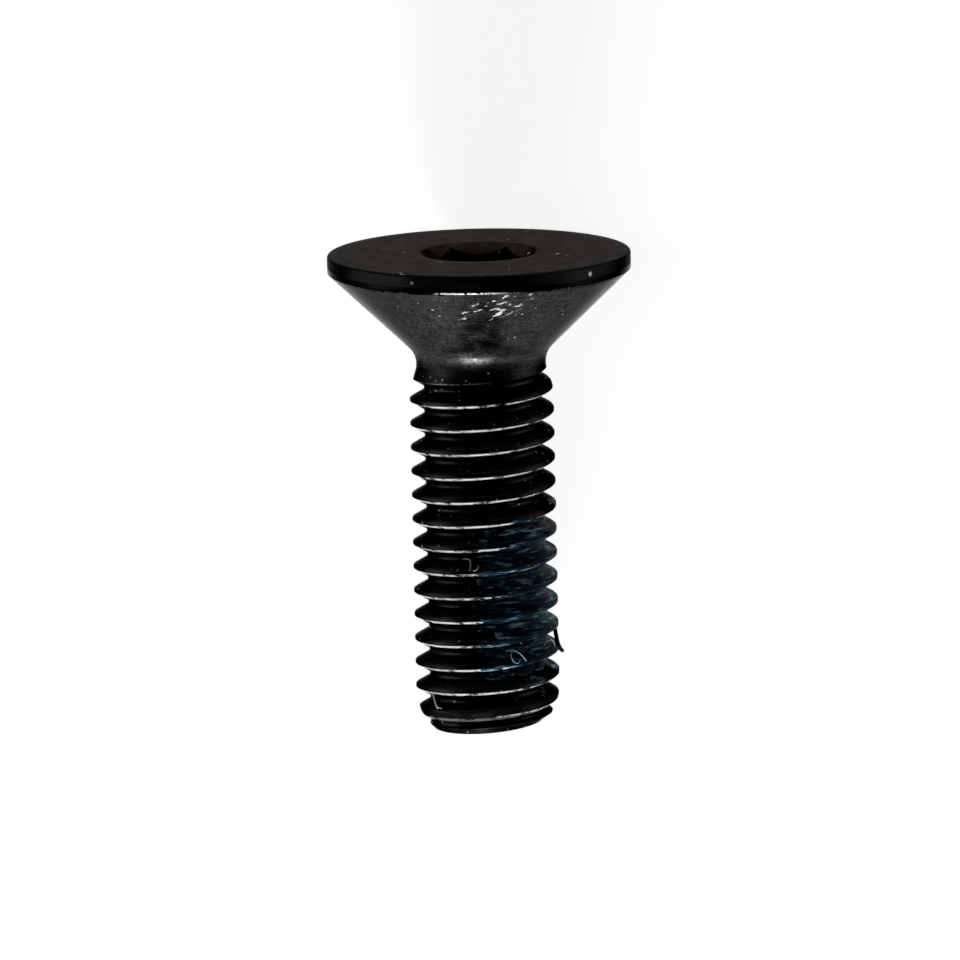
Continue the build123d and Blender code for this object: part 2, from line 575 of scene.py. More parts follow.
@dataclass(frozen=True)
class HeadAndSocket:
    """The countersunk head with its socket, from the socket's floor out and down to the neck."""

    sizes: ScrewSizes
    side_turn: float = math.radians(60)
    half_point_angle: float = math.radians(60)
    steps_around: int = 144
    face_steps: int = 12
    cone_steps: int = 26
    round_steps: int = 14
    socket_steps: int = 6
    mouth_lip: Span = (0.02, 0.006)
    lower_edge_round: float = 0.05

    def hexagon(self, turn: float) -> float:
        """Distance of the socket's wall from the axis at one turn about it."""
        half_flats = self.sizes.across_flats / 2
        return half_flats / math.cos(turn % self.side_turn - self.side_turn / 2)

    def floor(self, share: float) -> RingAt:
        """Find a ring on the drilled point.

        Args:
            share: How far out it lies, from 0 on the axis to 1 at the wall.

        Returns:
            The function of the turn that gives its radius and depth.
        """
        s = self.sizes
        point = 1 / math.tan(self.half_point_angle)

        def at(turn: float) -> tuple[float, float]:
            """Radius and depth at one turn."""
            radius = self.hexagon(turn) * share
            return radius, s.socket_depth + (s.hexagon_corner - radius) * point

        return at

    def wall(self, share: float) -> RingAt:
        """Find a ring on the wall.

        Args:
            share: How far up it lies, from 0 at the floor to 1 at the bevel.

        Returns:
            The function of the turn that gives its radius and depth.
        """

        def at(turn: float) -> tuple[float, float]:
            """Find one point of the ring.

            Args:
                turn: The turn about the axis, in radians.

            Returns:
                The point's radius and depth.
            """
            radius, low = self.floor(1.0)(turn)
            high = self.sizes.hexagon_corner + self.sizes.mouth_margin - radius
            return radius, low + (high - low) * share

        return at

    @staticmethod
    def plain(radius: float, depth: float) -> RingAt:
        """A round ring."""
        return lambda turn: (radius, depth)

    def arc(self, centre: Span, r: float, first: float, last: float, n: int) -> list[RingAt]:
        """Find round rings along an arc.

        Args:
            centre: Radius and depth of the arc's centre.
            r: The arc's own radius.
            first: Where it starts, in degrees.
            last: Where it ends, in degrees.
            n: How many steps it takes.

        Returns:
            The rings' functions, in order.
        """
        turns = [math.radians(first + (last - first) * i / n) for i in range(n + 1)]
        x, y = centre
        return [self.plain(x + r * math.cos(a), y + r * math.sin(a)) for a in turns]

    def bands(self) -> list[tuple[Region, list[RingAt]]]:
        """Rings of the head in order, as functions of the turn about the axis.

        Returns:
            For each region, the functions that give a ring's radius and depth.
        """
        s = self.sizes
        mouth = s.hexagon_corner + s.mouth_margin
        lip, lip_depth = self.mouth_lip
        rim, bevel = s.head_radius, s.rim_bevel
        lower, slant = self.lower_edge_round, s.cone_half_angle
        under = 90 - math.degrees(slant)
        edge = lower * math.tan((math.pi / 2 - slant) / 2)
        width = (rim - bevel - mouth - lip) / self.face_steps
        face = [self.plain(mouth + lip + width * i, 0.0) for i in range(self.face_steps)]
        round_centre = (s.neck_radius + s.under_head_round, s.shank_top)
        fillet = self.arc(
            round_centre, s.under_head_round, 180 + math.degrees(slant), 180, self.round_steps
        )
        top = (rim - edge * math.sin(slant), s.rim_height + edge * math.cos(slant))
        ends = list(zip(top, fillet[0](0.0)))
        cone = [
            self.plain(*(a + (b - a) * i / self.cone_steps for a, b in ends))
            for i in range(1, self.cone_steps)
        ]
        side = [self.plain(rim, bevel + (s.rim_height - edge - bevel) * i / 3) for i in (1, 2)]
        steps = self.socket_steps
        return [
            (Region.FACE, [self.floor(i / steps) for i in range(1, steps)]),
            (Region.FACE, [self.wall(i / steps) for i in range(steps + 1)]),
            (Region.FACE, [self.plain(mouth, lip_depth), *face]),
            (Region.RIM, self.arc((rim - bevel, bevel), bevel, -90, 0, 5)),
            (Region.RIM, side),
            (Region.CONE, self.arc((rim - lower, s.rim_height - edge), lower, 0, under, 3)),
            (Region.CONE, cone),
            (Region.CONE, fillet),
        ]

    def build(self, into: bmesh.types.BMesh) -> None:
        """Add the head to a mesh, in the screw's own axes and in millimetres.

        Args:
            into: The mesh that gets the head.
        """
        turns = [TAU * i / self.steps_around for i in range(self.steps_around)]
        middle_depth = self.sizes.socket_depth + self.sizes.hexagon_corner / math.sqrt(3)
        middle = into.verts.new((0.0, 0.0, -middle_depth))
        before: list[bmesh.types.BMVert] = []
        for region, ring in ((region, ring) for region, band in self.bands() for ring in band):
            now = []
            for turn in turns:
                radius, depth = ring(turn)
                place = (radius * math.cos(turn), radius * math.sin(turn), -depth)
                now.append(into.verts.new(place))
            for i, here in enumerate(now):
                after = (i + 1) % len(now)
                inner = (before[i], here, now[after], before[after]) if before else ()
                face = into.faces.new(inner or (middle, here, now[after]))
                face.material_index = region.value
            before = now


@dataclass(frozen=True)
class ScrewBody:
    """The whole screw as one closed skin: head, socket, neck, thread and end."""

    sizes: ScrewSizes
    head: HeadAndSocket
    shank: ThreadedShank
    crease: float = math.radians(38)
    weld: float = 0.002
    end_rings: tuple[float, ...] = (0.9, 0.6, 0.3)

    def mesh(self, group: bpy.types.NodeTree) -> bpy.types.Mesh:
        """Join the head to the shank and close the end.

        Args:
            group: The thread rule's node group.

        Returns:
            The closed mesh, in the screw's own axes and in millimetres.
        """
        skin = bmesh.new()
        skin.from_mesh(self.shank.mesh(group))
        self._close_end(skin)
        for face in skin.faces:
            face.material_index = Region.THREAD.value
        self.head.build(skin)
        bmesh.ops.remove_doubles(skin, verts=skin.verts, dist=self.weld)
        bmesh.ops.recalc_face_normals(skin, faces=skin.faces)
        mesh = finished_mesh(skin, "screw_body")
        mesh.set_sharp_from_angle(angle=self.crease)
        return mesh

    def _close_end(self, skin: bmesh.types.BMesh) -> None:
        """Close the tip of the open tube with a flat end, ring by ring to a middle point.

        Args:
            skin: The open tube, which gains the end.
        """
        near_end = 1.0 - self.sizes.length
        edge = {
            v for e in skin.edges if e.is_boundary for v in e.verts if v.co.z < near_end
        }
        ring = sorted(edge, key=lambda v: math.atan2(v.co.y, v.co.x))
        centre = sum((v.co for v in ring), Vector()) / len(ring)
        for share in self.end_rings:
            inner = [skin.verts.new(centre + (v.co - centre) * share) for v in ring]
            for i, vertex in enumerate(ring):
                after = (i + 1) % len(ring)
                skin.faces.new((vertex, ring[after], inner[after], inner[i]))
            ring = inner
        middle = skin.verts.new(centre)
        for i, vertex in enumerate(ring):
            skin.faces.new((vertex, ring[(i + 1) % len(ring)], middle))


def finished_mesh(skin: bmesh.types.BMesh, name: str) -> bpy.types.Mesh:
    """Turn a skin into a smooth mesh and log how closed it is.

    Args:
        skin: The skin, which is freed.
        name: The mesh's name.

    Returns:
        The mesh.
    """
    open_edges = sum(1 for edge in skin.edges if len(edge.link_faces) != 2)
    LOG.info("%s: %d faces, %d open edges", name, len(skin.faces), open_edges)
    mesh = bpy.data.meshes.new(name)
    skin.to_mesh(mesh)
    skin.free()
    return smoothed(mesh)


def smoothed(mesh: bpy.types.Mesh) -> bpy.types.Mesh:
    """Shade every face of a mesh smooth."""
    mesh.polygons.foreach_set("use_smooth", [True] * len(mesh.polygons))
    return mesh


@dataclass(frozen=True)
class LockingFilm:
    """Nylon film that fills the roots over part of the thread and thins out over the crests."""

    sizes: ScrewSizes
    winding: Winding
    turn: float = math.radians(-35)
    middle: float = 14.15
    half_length: float = 3.75
    half_arc: float = math.radians(62)
    spare_length: float = 0.6
    over_crest: float = 0.008
    fill_radius: float = 2.52
    ripple: float = 0.12
    sink: float = 0.05
    fray: float = 1.9
    torn_edge: Span = (1.0, 0.86)
    least_cover: float = 0.03
    bare_below: float = 0.0005
    weld: float = 0.0008

    def mesh(self, group: bpy.types.NodeTree) -> bpy.types.Mesh:
        """Build the film as a thin closed shell with a torn edge.

        Args:
            group: The thread rule's node group.

        Returns:
            The shell, in the screw's own axes and in millimetres.
        """
        reach = self.half_length + self.spare_length
        inputs = {
            **self.winding.inputs(self.middle - reach, self.middle + reach),
            "Patch Turn": self.turn,
            "Patch Middle": self.middle,
            "Half Length": self.half_length,
            "Half Arc": self.half_arc,
            "Over Crest": self.over_crest,
            "Fill Radius": self.fill_radius,
            "Ripple": self.ripple,
            "Sink": self.sink,
        }
        recipe = Recipe("Locking Film", inputs)
        rule = recipe.rule
        grid = self.winding.wind(rule, group)
        self._spread(rule)
        values = {"Geometry": grid, "Name": "cover", "Value": rule["cover"]}
        grid = rule.add("GeometryNodeStoreNamedAttribute", values)
        rule["stored cover"] = rule.add("GeometryNodeInputNamedAttribute", {"Name": "cover"})
        bare = rule.work_out(("bare", "LESS_THAN", "stored cover", self.bare_below))
        values = {"Geometry": grid, "Selection": bare}
        kept = rule.add("GeometryNodeDeleteGeometry", values, domain="FACE")
        lifted = self.winding.point_at(rule, "outer", "depth")
        values = {"Geometry": kept, "Name": "lifted", "Value": lifted}
        kept = rule.add("GeometryNodeStoreNamedAttribute", values, data_type="FLOAT_VECTOR")
        laid = self.winding.point_at(rule, "inner", "depth")
        sheet = rule.add("GeometryNodeSetPosition", {"Geometry": kept, "Position": laid})
        return self._thickened(recipe.close(sheet, self.weld))

    def _thickened(self, sheet: bpy.types.Mesh) -> bpy.types.Mesh:
        """Give the sheet its thickness, down to nothing at its torn edge.

        Args:
            sheet: The sheet against the steel, with the place of its outer side at each point.

        Returns:
            The closed shell.
        """
        skin = bmesh.new()
        skin.from_mesh(sheet)
        bmesh.ops.remove_doubles(skin, verts=skin.verts, dist=self.weld)
        self._trim(skin)
        lifted = skin.verts.layers.float_vector["lifted"]
        under = list(skin.faces)
        over = {v: v if v.is_boundary else skin.verts.new(v[lifted]) for v in list(skin.verts)}
        for face in under:
            skin.faces.new([over[v] for v in reversed(face.verts)])
        if skin.calc_volume(signed=True) < 0:
            bmesh.ops.reverse_faces(skin, faces=skin.faces)
        return finished_mesh(skin, "nylon_film")

    @staticmethod
    def _trim(skin: bmesh.types.BMesh) -> None:
        """Drop faces that hang on by one edge or lie wholly on the torn edge.

        Args:
            skin: The sheet, which loses those faces.
        """
        while True:
            bridges = {
                edge
                for edge in skin.edges
                if not edge.is_boundary and all(v.is_boundary for v in edge.verts)
            }
            dropped = [
                face
                for face in skin.faces
                if all(v.is_boundary for v in face.verts) or not bridges.isdisjoint(face.edges)
            ]
            if not dropped:
                return
            bmesh.ops.delete(skin, geom=dropped, context="FACES")

    def _spread(self, rule: Rule) -> None:
        """Say where the film lies, how thick it is and how it is torn.

        Args:
            rule: The film's rule.
        """
        rule.work_out(
            ("off middle", "SUBTRACT", "depth", "Patch Middle"),
            ("off length", "ABSOLUTE", "off middle"),
            ("length share", "DIVIDE", "off length", "Half Length"),
            ("off turn", "SUBTRACT", "angle", "Patch Turn"),
            ("facing", "COSINE", "off turn"),
            ("facing in", "MINIMUM", "facing", 1.0),
            ("swung", "ARCCOSINE", "facing in"),
            ("arc share", "DIVIDE", "swung", "Half Arc"),
            ("reached", "SMOOTH_MAX", "length share", "arc share", 0.35),
            ("deep", "MULTIPLY", "depth", 2.2),
            ("streaked", "MULTIPLY", "depth", 9.0),
            ("around x", "MULTIPLY", "cos", 4.0),
            ("around y", "MULTIPLY", "sin", 4.0),
            ("broad", "JOIN", "around x", "around y", "deep"),
            ("fine", "JOIN", "around x", "around y", "streaked"),
        )
        torn = {"Vector": rule["broad"], "W": 1.3, "Scale": 0.9, "Detail": 4.0, "Roughness": 0.65}
        rule["torn"] = rule.add("ShaderNodeTexNoise", torn, noise_dimensions="4D")
        streak = {"Vector": rule["fine"], "W": 5.1, "Scale": 0.8, "Detail": 3.0, "Roughness": 0.55}
        rule["streak"] = rule.add("ShaderNodeTexNoise", streak, noise_dimensions="4D")
        rule.work_out(
            ("tear", "SUBTRACT", "torn", 0.5),
            ("tear far", "MULTIPLY", "tear", self.fray),
            ("frayed", "ADD", "reached", "tear far"),
            ("cover", "MAP", "frayed", *self.torn_edge),
            ("wave", "SUBTRACT", "streak", 0.5),
            ("waved", "MULTIPLY", "wave", "Ripple"),
            ("fill", "ADD", "Fill Radius", "waved"),
            ("thin", "MULTIPLY", "streak", "Over Crest"),
            ("over", "ADD", "radius", "thin"),
            ("top", "SMOOTH_MAX", "over", "fill", 0.06),
            ("inner", "SUBTRACT", "radius", "Sink"),
            ("thick", "SUBTRACT", "top", "inner"),
            ("covering", "MAXIMUM", "cover", self.least_cover),
            ("covered", "MULTIPLY", "thick", "covering"),
            ("outer", "ADD", "inner", "covered"),
        )


def new_surface(name: str) -> bpy.types.Material:
    """Make a material with an empty node tree.

    Args:
        name: The material's name.

    Returns:
        The material, ready for its nodes.
    """
    material = bpy.data.materials.new(name)
    material.use_nodes = True
    material.node_tree.nodes.clear()
    return material


@dataclass(frozen=True)
class WearAndHighlight:
    """Where the oxide has gone from one part of the screw, and where a highlight is painted as bare
    steel: nowhere.
    """

    def bare(self, rule: Rule) -> Any:
        """The share of bare steel and painted highlight, from 0 to 1."""
        return 0.0


@dataclass(frozen=True)
class StruckRim(WearAndHighlight):
    """Bare steel in one small nick on the rim."""

    place: Point = (4.52, -4.32, -0.30)
    fade: Span = (0.11, 0.05)

    def bare(self, rule: Rule) -> bpy.types.Node:
        """Find the nick.

        Args:
            rule: The material's rule.

        Returns:
            The share of bare steel, from 0 to 1.
        """
        off = rule.add("ShaderNodeVectorMath", ("point", self.place), operation="DISTANCE")
        rule["off nick"] = off.outputs["Value"]
        return rule.work_out(("nicked", "MAP", "off nick", *self.fade))


@dataclass(frozen=True)
class PaintedFlankHighlight(WearAndHighlight):
    """Painted highlight on the flanks that face the tip: bright bands painted as bare steel,
    standing in for light that falls on them from the tip side.

    Heights are shares of the thread's height, and on the last turn the painted band is wider and
    fainter.
    """

    upper_edge: Span = (1.0, 0.93)
    lower_edge: Span = (0.56, 0.72)
    gaps: Span = (0.38, 0.50)
    last_turn: Span = (18.85, 19.0)
    wider: float = 0.40
    dimmer: float = 0.65
    strength: float = 0.95
    side: Span = (1.4, -0.6)
    far_side: float = 0.12

    def bare(self, rule: Rule) -> bpy.types.Node:
        """Find the painted highlight band.

        Args:
            rule: The material's rule.

        Returns:
            The share of bare steel, from 0 to 1.
        """
        for name in ("height", "tipward"):
            rule[name] = rule.add("ShaderNodeAttribute", attribute_name=name).outputs["Fac"]
        at = rule.work_out(("along", "MULTIPLY", "z", 0.5), ("at", "JOIN", "x", "y", "along"))
        values = {"Vector": at, "Scale": 1.6, "Detail": 4.0, "Roughness": 0.7}
        rule["patchy highlight"] = rule.add("ShaderNodeTexNoise", values)
        # painted highlight: bare-steel colour on the tip-facing flanks, broken by noise
        return rule.work_out(
            ("broken", "MAP", "patchy highlight", *self.gaps),
            ("last turn", "MAP", "depth", *self.last_turn),
            ("wider", "MULTIPLY", "last turn", self.wider),
            ("dimmer", "MULTIPLY", "last turn", self.dimmer),
            ("wide height", "ADD", "height", "wider"),
            ("strength", "SUBTRACT", self.strength, "dimmer"),
            # painted highlight fades towards the side that faces the floor
            ("upper side", "MAP", "y", *self.side, self.far_side, 1.0),
            ("upper edge", "MAP", "height", *self.upper_edge),
            ("lower edge", "MAP", "wide height", *self.lower_edge),
            ("band", "MULTIPLY", "upper edge", "lower edge"),
            ("on flank", "MULTIPLY", "band", "tipward"),
            ("flank highlight", "MULTIPLY", "on flank", "broken"),
            ("flank highlight on lit side", "MULTIPLY", "flank highlight", "upper side"),
            ("painted flank highlight", "MULTIPLY", "flank highlight on lit side", "strength"),
        )


@dataclass(frozen=True)
class ScuffsAndEdgeHighlight(WearAndHighlight):
    """Bare steel where the cone was knocked, in a slanting patch of flecks, and a painted highlight
    along the rim edge, given as bare steel.

    Places are millimetres across the screw and below the flat of the head.
    """

    middle_x: float = 0.65
    middle_depth: float = 1.42
    slant_run: float = 0.949
    slant_fall: float = 0.316
    half_length: float = 1.55
    half_width: float = 0.50
    patch_fade: Span = (1.2, 0.8)
    dash_length: float = 0.46
    dash_width: float = 0.15
    dash_fade: Span = (0.42, 0.22)
    dash_share: float = 0.85
    jitter: float = 2.0
    line_x: float = -0.35
    line_depth: float = 0.70
    line_fade: Span = (0.055, 0.025)
    line_ends: Span = (1.7, 0.9)
    line_gaps: Span = (0.40, 0.52)

    def bare(self, rule: Rule) -> bpy.types.Node:
        """Find the flecks and the painted edge highlight.

        Args:
            rule: The material's rule.

        Returns:
            The share of bare steel and painted edge highlight, from 0 to 1.
        """
        at = rule.work_out(
            ("from x", "SUBTRACT", "x", self.middle_x),
            ("from depth", "SUBTRACT", "depth", self.middle_depth),
            ("along x", "MULTIPLY", "from x", self.slant_run),
            ("along depth", "MULTIPLY", "from depth", self.slant_fall),
            ("along", "SUBTRACT", "along x", "along depth"),
            ("over x", "MULTIPLY", "from x", self.slant_fall),
            ("over depth", "MULTIPLY", "from depth", self.slant_run),
            ("over", "ADD", "over x", "over depth"),
            ("along share", "DIVIDE", "along", self.half_length),
            ("over share", "DIVIDE", "over", self.half_width),
            ("along squared", "MULTIPLY", "along share", "along share"),
            ("over squared", "MULTIPLY", "over share", "over share"),
            ("from middle", "ADD", "along squared", "over squared"),
            ("dash along", "DIVIDE", "along", self.dash_length),
            ("dash over", "DIVIDE", "over", self.dash_width),
            ("at", "JOIN", "dash along", "dash over", 2.0),
        )
        jitter = rule.add("ShaderNodeTexNoise", {"Vector": rule["point"], "Scale": 3.4})
        reach = (jitter.outputs["Color"], (self.jitter, self.jitter, 0.0))
        shift = rule.add("ShaderNodeVectorMath", reach, operation="MULTIPLY")
        moved = rule.add("ShaderNodeVectorMath", (at, shift), operation="ADD")
        cells = rule.add("ShaderNodeTexVoronoi", {"Vector": moved, "Scale": 1.0})
        lot = rule.add("ShaderNodeSeparateXYZ", (cells.outputs["Color"],))
        rule.update({"off dash": cells.outputs["Distance"], "lot": lot.outputs[0]})
        uneven = {"Vector": rule["point"], "Scale": 4.5, "Detail": 3.0}
        rule["rim noise"] = rule.add("ShaderNodeTexNoise", uneven)
        return rule.work_out(
            ("dash", "MAP", "off dash", *self.dash_fade),
            ("within", "MAP", "from middle", *self.patch_fade),
            ("rim broken", "MAP", "rim noise", *self.line_gaps),
            ("picked dash", "LESS_THAN", "lot", self.dash_share),
            ("dashes", "MULTIPLY", "dash", "picked dash"),
            ("flecks", "MULTIPLY", "dashes", "within"),
            # painted highlight: a thin broken bright line along the rim's lower edge
            ("from edge", "SUBTRACT", "depth", self.line_depth),
            ("off edge", "ABSOLUTE", "from edge"),
            ("from line", "SUBTRACT", "x", self.line_x),
            ("off line", "ABSOLUTE", "from line"),
            ("upper side", "LESS_THAN", "y", 0.0),
            ("painted edge highlight", "MAP", "off edge", *self.line_fade),
            ("line length", "MAP", "off line", *self.line_ends),
            ("line", "MULTIPLY", "painted edge highlight", "line length"),
            ("broken edge highlight", "MULTIPLY", "line", "rim broken"),
            ("either", "MAXIMUM", "broken edge highlight", "flecks"),
            ("scuffs and edge highlight", "MULTIPLY", "either", "upper side"),
        )


@dataclass(frozen=True)
class BlackOxide:
    """Hot black oxide on alloy steel: a thin conversion layer, dark and satin under oil.

    The layer takes the texture of the steel below it, so the marks of turning, upsetting
    and rolling show through as fine changes in gloss. It stays dark where the eye meets it
    at a low angle, so bare steel and dust stand out on it. A foot colour, where given, is
    that of the neck's foot, and such a surface also has a dark lip rolled over the rim.
    """

    name: str
    base: str
    tone: str
    roughness: float
    edge: str = "68686a"
    mottle_mm: float = 0.9
    mottled: Span = (0.38, 0.66)
    grain_mm: float = 0.06
    grain_height_mm: float = 0.004
    grain_dark: float = 0.0
    pits: Span = (0.52, 0.36)
    pit: str = "060607"
    marks: MarkDirection = MarkDirection.NONE
    marks_mm: float = 0.05
    marks_height_mm: float = 0.006
    marks_light: float = 0.0
    mark: str = "6b6d70"
    specks: float = 0.0
    speck_mm: float = 0.10
    dust: str = "c0c0bc"
    # steel colour: bare steel from wear, and painted highlights on the flanks and rim edge
    steel: str = "e9ebed"
    neck: Span = (3.5, 4.0)
    neck_rise: float = 0.0
    foot: Optional[str] = None
    foot_edge: str = "68686a"
    foot_span: Span = (4.15, 4.75)
    lip: str = "0b0b0c"
    lip_waver: float = 0.34
    lip_span: Span = (0.60, 0.57)
    gloss_range: float = 0.06
    wear_and_highlight: WearAndHighlight = WearAndHighlight()

    def build(self, placement: Placement) -> bpy.types.Material:
        """Make the material.

        Args:
            placement: Where the screw lies.

        Returns:
            The material, with node patterns scaled in real millimetres.
        """
        material = new_surface(self.name)
        rule = placement.local(material.node_tree)
        for name, size, detail in (("mottle", self.mottle_mm, 5.0), ("grain", self.grain_mm, 2.0)):
            values = {"Vector": rule["point"], "Scale": 1 / size, "Detail": detail}
            rule[name] = rule.add("ShaderNodeTexNoise", values)
        rule["marks"] = self._marks(rule)
        # bare: bare steel from wear, and painted highlight on the thread flanks and the rim edge
        rule["bare"] = self.wear_and_highlight.bare(rule)
        rule["specks"] = self._specks(rule)
        rule["edge"] = linear(self.edge)
        rule.work_out(
            ("patchy", "MAP", "mottle", *self.mottled),
            ("colour", "MIX", "patchy", linear(self.base), linear(self.tone)),
            ("streak", "MULTIPLY", "marks", self.marks_light),
            ("colour", "MIX", "streak", "colour", linear(self.mark)),
        )
        if self.foot:
            rule.work_out(
                ("foot", "MAP", "depth", *self.foot_span),
                ("colour", "MIX", "foot", "colour", linear(self.foot)),
                ("edge", "MIX", "foot", "edge", linear(self.foot_edge)),
                ("lip", "MULTIPLY", "mottle", self.lip_waver),
                ("past lip", "SUBTRACT", "depth", "lip"),
                ("rolled over", "MAP", "past lip", *self.lip_span),
                ("colour", "MIX", "rolled over", "colour", linear(self.lip)),
            )
        smooth, rough = self.roughness - self.gloss_range, self.roughness + self.gloss_range
        rule.work_out(
            ("pits", "MAP", "grain", *self.pits),
            ("pitted", "MULTIPLY", "pits", self.grain_dark),
            ("colour", "MIX", "pitted", "colour", linear(self.pit)),
            ("colour", "MIX", "specks", "colour", linear(self.dust)),
            ("colour", "MIX", "bare", "colour", linear(self.steel)),
            ("edge", "MIX", "bare", "edge", WHITE),
            ("even", "MAP", "mottle", 0.3, 0.7, smooth, rough),
            ("neck", "MAP", "depth", *self.neck),
            ("rougher", "MULTIPLY", "neck", self.neck_rise),
            ("roughness", "ADD", "even", "rougher"),
            ("mark height", "MULTIPLY", "marks", self.marks_height_mm),
            ("grain height", "MULTIPLY", "grain", self.grain_height_mm),
            ("height in mm", "ADD", "mark height", "grain height"),
            ("in metres", "MULTIPLY", "height in mm", MM),
            ("dull", "MAXIMUM", "bare", "specks"),
            ("clean", "SUBTRACT", 1.0, "dull"),
        )
        values = {
            "Base Color": rule["colour"],
            "Metallic": rule["clean"],
            "Roughness": rule["roughness"],
            "Specular Tint": rule["edge"],
            "Normal": rule.add("ShaderNodeBump", {"Height": rule["in metres"], "Distance": 1.0}),
        }
        shader = rule.add("ShaderNodeBsdfPrincipled", values)
        rule.add("ShaderNodeOutputMaterial", {"Surface": shader})
        return material

    def _marks(self, rule: Rule) -> Any:
        """Add fine tool marks that run round the axis.

        Args:
            rule: The material's rule.

        Returns:
            A value from 0 to 1 that follows the marks.
        """
        if self.marks is MarkDirection.NONE:
            return 0.0
        spaced = "depth" if self.marks is MarkDirection.ALONG_AXIS else "radius"
        at = rule.work_out(
            ("mark run", "DIVIDE", spaced, self.marks_mm),
            ("mark x", "MULTIPLY", "x", 0.35),
            ("mark y", "MULTIPLY", "y", 0.35),
            ("mark at", "JOIN", "mark x", "mark y", "mark run"),
        )
        values = {"Vector": at, "Scale": 1.0, "Detail": 3.0}
        rule["mark noise"] = rule.add("ShaderNodeTexNoise", values)
        return rule.work_out(("marks", "MAP", "mark noise", 0.45, 0.75))

    def _specks(self, rule: Rule) -> bpy.types.Node:
        """Scatter pale dust over the surface.

        Args:
            rule: The material's rule.

        Returns:
            The share of dust, from 0 to 1.
        """
        values = {"Vector": rule["point"], "Scale": 1 / self.speck_mm / 4}
        cells = rule.add("ShaderNodeTexVoronoi", values)
        chosen = rule.add("ShaderNodeSeparateXYZ", (cells.outputs["Color"],))
        rule.update(off=cells.outputs["Distance"], lot=chosen.outputs[0], chance=chosen.outputs[1])
        return rule.work_out(
            ("half size", "MULTIPLY", "chance", 0.9),
            ("size", "ADD", "half size", 0.25),
            ("scaled", "DIVIDE", "off", "size"),
            ("near", "MAP", "scaled", 0.22, 0.08),
            ("picked", "LESS_THAN", "lot", self.specks),
            ("speck", "MULTIPLY", "near", "picked"),
            ("uneven", "MULTIPLY", "chance", "chance"),
            ("dusty", "MULTIPLY", "speck", "uneven"),
        )


@dataclass(frozen=True)
class NylonFilm:
    """Sprayed nylon locking film: a thin fused polymer, blue and slightly see-through."""

    name: str = "locking_nylon"
    deep: str = "0c131c"
    middle: str = "112636"
    pale: str = "568fa6"
    # painted highlight: near-white colour laid on the peaks of the streaks
    ridge_highlight: str = "c6d6dc"
    roughness: float = 0.40
    smooth_share: float = 0.4
    streak_mm: float = 0.11
    relief_mm: float = 0.03

    def build(self, placement: Placement) -> bpy.types.Material:
        """Make the material.

        Args:
            placement: Where the screw lies.

        Returns:
            The material, streaked round the thread as a brush or a nut draws the film, with a
            painted highlight on the streaks' ridges.
        """
        material = new_surface(self.name)
        rule = placement.local(material.node_tree)
        at = rule.work_out(
            ("drawn out", "DIVIDE", "z", self.streak_mm),
            ("slow x", "MULTIPLY", "x", 1.2),
            ("slow y", "MULTIPLY", "y", 1.2),
            ("at", "JOIN", "slow x", "slow y", "drawn out"),
        )
        values = {"Vector": at, "Scale": 1.0, "Detail": 4.0, "Roughness": 0.6}
        rule["streaks"] = rule.add("ShaderNodeTexNoise", values)
        rule["broad"] = rule.add("ShaderNodeTexNoise", {"Vector": rule["point"], "Scale": 0.9})
        rule.work_out(
            ("thick", "MAP", "broad", 0.40, 0.62),
            ("thin", "MAP", "streaks", 0.52, 0.65),
            # ridge: painted highlight on the streak peaks; both streak colours weaken over the
            # crests
            ("ridge_highlight", "MAP", "streaks", 0.60, 0.69),
            ("low", "MAP", "radius", 3.0, 2.85, 0.25, 1.0),
            ("thin low", "MULTIPLY", "thin", "low"),
            ("ridge highlight low", "MULTIPLY", "ridge_highlight", "low"),
            ("colour", "MIX", "thick", linear(self.deep), linear(self.middle)),
            ("colour", "MIX", "thin low", "colour", linear(self.pale)),
            ("colour", "MIX", "ridge highlight low", "colour", linear(self.ridge_highlight)),
            ("relief", "MULTIPLY", "streaks", self.relief_mm * MM),
        )
        bump = rule.add("ShaderNodeBump", {"Height": rule["relief"], "Distance": 1.0})
        skin = {"Color": rule["colour"], "Normal": bump}
        values = {"Base Color": rule["colour"], "Normal": bump, "Roughness": self.roughness}
        values.update({"IOR": NYLON_INDEX, "Specular IOR Level": 0.06})
        shader = rule.add("ShaderNodeBsdfPrincipled", values)
        ragged = rule.add("ShaderNodeBsdfDiffuse", skin)
        both = rule.add("ShaderNodeMixShader", (self.smooth_share, ragged, shader))
        rule.add("ShaderNodeOutputMaterial", {"Surface": both})
        return material


@dataclass(frozen=True)
class TornNylon:
    """Torn nylon thread: a matt polymer, paler where it was stretched."""

    name: str
    colour: str
    roughness: float = 0.6
    shine: float = 0.1

    def build(self) -> bpy.types.Material:
        """Make the material.

        Returns:
            The material, one colour all over.
        """
        material = new_surface(self.name)
        rule = Rule(material.node_tree)
        values = {"Base Color": linear(self.colour), "Roughness": self.roughness}
        values.update({"IOR": NYLON_INDEX, "Specular IOR Level": self.shine})
        shader = rule.add("ShaderNodeBsdfPrincipled", values)
        rule.add("ShaderNodeOutputMaterial", {"Surface": shader})
        return material


STRETCHED = TornNylon("stretched_nylon", "c9cdd0")
DUSTY = TornNylon("dusty_nylon", "b4b9bd")
TORN_BLUE = TornNylon("torn_blue_nylon", "abc4ce")
THICK_BLUE = TornNylon("thick_blue_nylon", "070d12")


